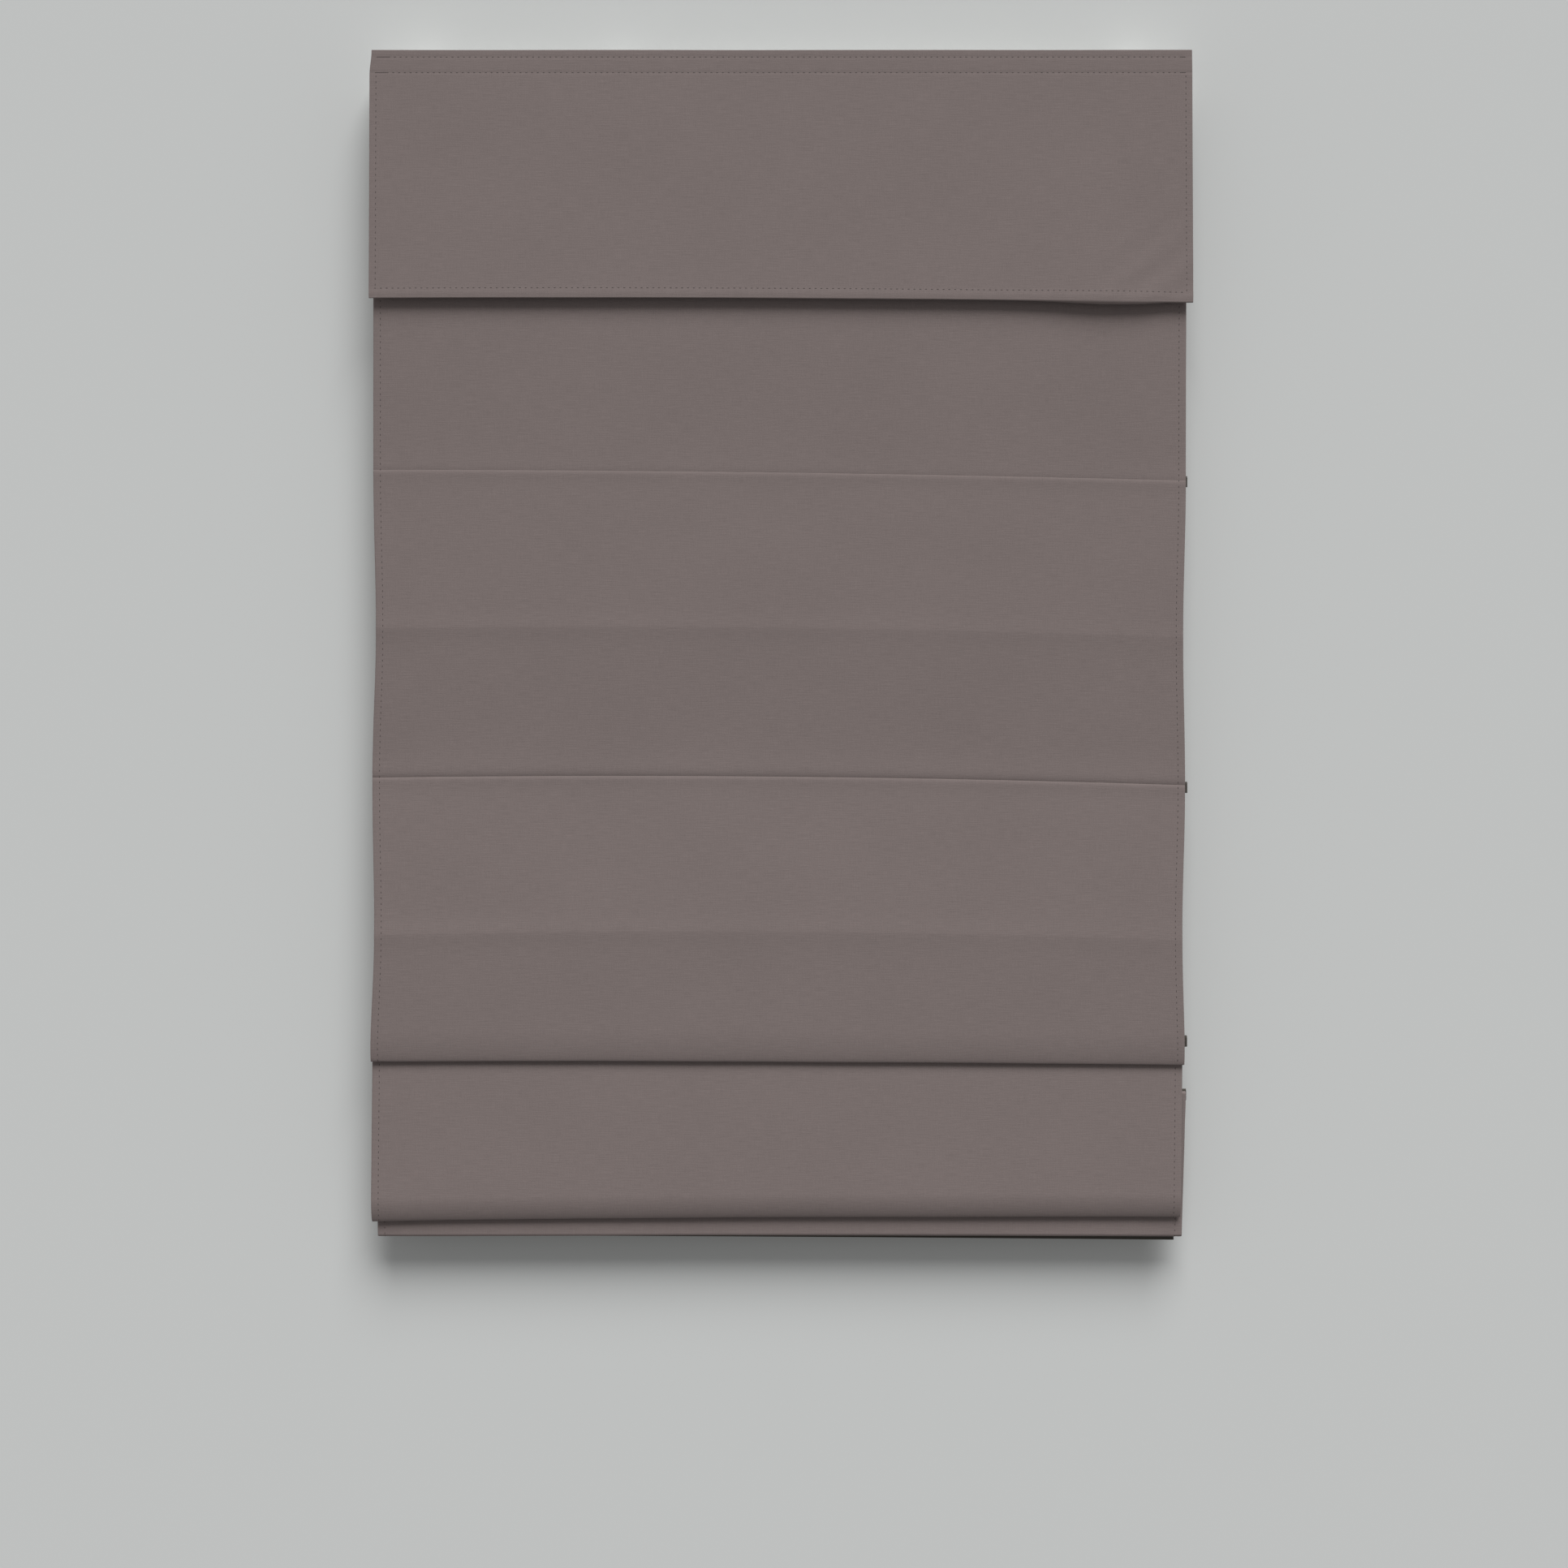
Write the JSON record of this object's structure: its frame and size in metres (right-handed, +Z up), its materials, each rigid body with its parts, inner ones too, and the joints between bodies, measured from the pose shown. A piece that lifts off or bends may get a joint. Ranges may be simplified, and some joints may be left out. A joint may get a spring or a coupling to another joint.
{
  "type": "roman blind",
  "caption": "Flat-fold fabric roman blind with a plain valance, lined, on a wall-fixed headrail with a cordless spring lift",
  "frame": {"origin": "centre of the four wall bracket screw holes, on the wall", "axes": "+Z up, +Y into the wall, +X to the right seen from the room"},
  "size_m": [0.896, 0.0664, 1.2931],
  "materials": {
    "face_fabric": "fine plain weave, matt, taupe grey",
    "lining_fabric": "smooth tightly woven lining, charcoal taupe",
    "hook_tape": "hook tape, fine hooks, matt",
    "loop_tape": "loop tape, napped",
    "batten": "smooth drawn rod, satin",
    "ring": "moulded ring, glossy",
    "cord": "braided polyester cord",
    "rail_enamel": "baked enamel, satin",
    "bracket_enamel": "enamelled pressed steel, satin",
    "cap_plastic": "moulded, fine spark texture",
    "bar_aluminium": "mill finish strip",
    "tip_plastic": "moulded, satin",
    "shaft_steel": "drawn zinc-plated square bar",
    "cradle_plastic": "moulded, satin",
    "spool_plastic": "moulded, satin",
    "motor_plastic": "moulded, fine spark texture",
    "spring_steel": "blued strip, oiled"
  },
  "bodies": {
    "root": {"end_cap_left": "cap_plastic", "end_cap_right": "cap_plastic", "face_panel": "face_fabric", "headrail": "rail_enamel", "lift_cord_centre": "cord", "lift_cord_left": "cord", "lift_cord_right": "cord", "lift_cradle_centre": "cradle_plastic", "lift_cradle_left": "cradle_plastic", "lift_cradle_right": "cradle_plastic", "lining": "lining_fabric", "motor_cover": "motor_plastic", "motor_housing": "motor_plastic", "panel_hook_tape": "hook_tape", "panel_loop_tape": "loop_tape", "rail_hook_tape": "hook_tape", "spring_band": "spring_steel", "valance": "face_fabric", "valance_loop_tape": "loop_tape", "wall_bracket_left": "bracket_enamel", "wall_bracket_right": "bracket_enamel"},
    "batten_1": {"batten_rod_1": "batten", "batten_pocket_1": "lining_fabric", "cord_ring_1_left": "ring", "cord_ring_1_centre": "ring", "cord_ring_1_right": "ring"},
    "batten_2": {"batten_rod_2": "batten", "batten_pocket_2": "lining_fabric", "cord_ring_2_left": "ring", "cord_ring_2_centre": "ring", "cord_ring_2_right": "ring"},
    "batten_3": {"batten_rod_3": "batten", "batten_pocket_3": "lining_fabric", "cord_ring_3_left": "ring", "cord_ring_3_centre": "ring", "cord_ring_3_right": "ring"},
    "batten_4": {"batten_rod_4": "batten", "batten_pocket_4": "lining_fabric", "cord_ring_4_left": "ring", "cord_ring_4_centre": "ring", "cord_ring_4_right": "ring", "bottom_bar": "bar_aluminium", "bar_tip_left": "tip_plastic", "bar_tip_right": "tip_plastic"},
    "shaft": {"lift_shaft": "shaft_steel", "output_drum": "spool_plastic", "cord_spool_left": "spool_plastic", "cord_spool_centre": "spool_plastic", "cord_spool_right": "spool_plastic"},
    "storage": {"storage_drum": "spool_plastic"}
  },
  "joints": [
    {"name": "batten_1_rise", "type": "slide", "parent": "root", "child": "batten_1", "axis": [0, 0.0112, 0.9999], "range_m": [0, 0.4], "deforming": ["face_panel", "lining", "lift_cord_left", "lift_cord_centre", "lift_cord_right"]},
    {"name": "batten_2_rise", "type": "slide", "parent": "batten_1", "child": "batten_2", "axis": [0, 0.022, 0.9998], "range_m": [0, 0.3186], "deforming": ["face_panel", "lining", "lift_cord_left", "lift_cord_centre", "lift_cord_right"]},
    {"name": "batten_3_rise", "type": "slide", "parent": "batten_2", "child": "batten_3", "axis": [0, 0.0346, 0.9994], "range_m": [-0.0511, 0.2664], "deforming": ["face_panel", "lining", "lift_cord_left", "lift_cord_centre", "lift_cord_right"]},
    {"name": "batten_4_rise", "type": "slide", "parent": "batten_3", "child": "batten_4", "axis": [0, 0.0268, 0.9996], "range_m": [-0.2751, 0.0419], "deforming": ["face_panel", "lining", "lift_cord_left", "lift_cord_centre", "lift_cord_right"]},
    {"name": "shaft_turn", "type": "hinge", "parent": "root", "child": "shaft", "pos_m": [0, -0.03225, -0.007], "axis": [-1, 0, 0], "range_deg": [-2548, 8010]},
    {"name": "storage_turn", "type": "hinge", "parent": "root", "child": "storage", "pos_m": [-0.175, -0.01785, 0.0064], "axis": [-1, 0, 0], "range_deg": [-7583, 2412]}
  ],
  "couplings": [
    {"joint": "shaft_turn", "follows": "batten_4_rise", "rad_per_m": 136.05},
    {"joint": "storage_turn", "follows": "batten_4_rise", "rad_per_m": -128.8}
  ]
}
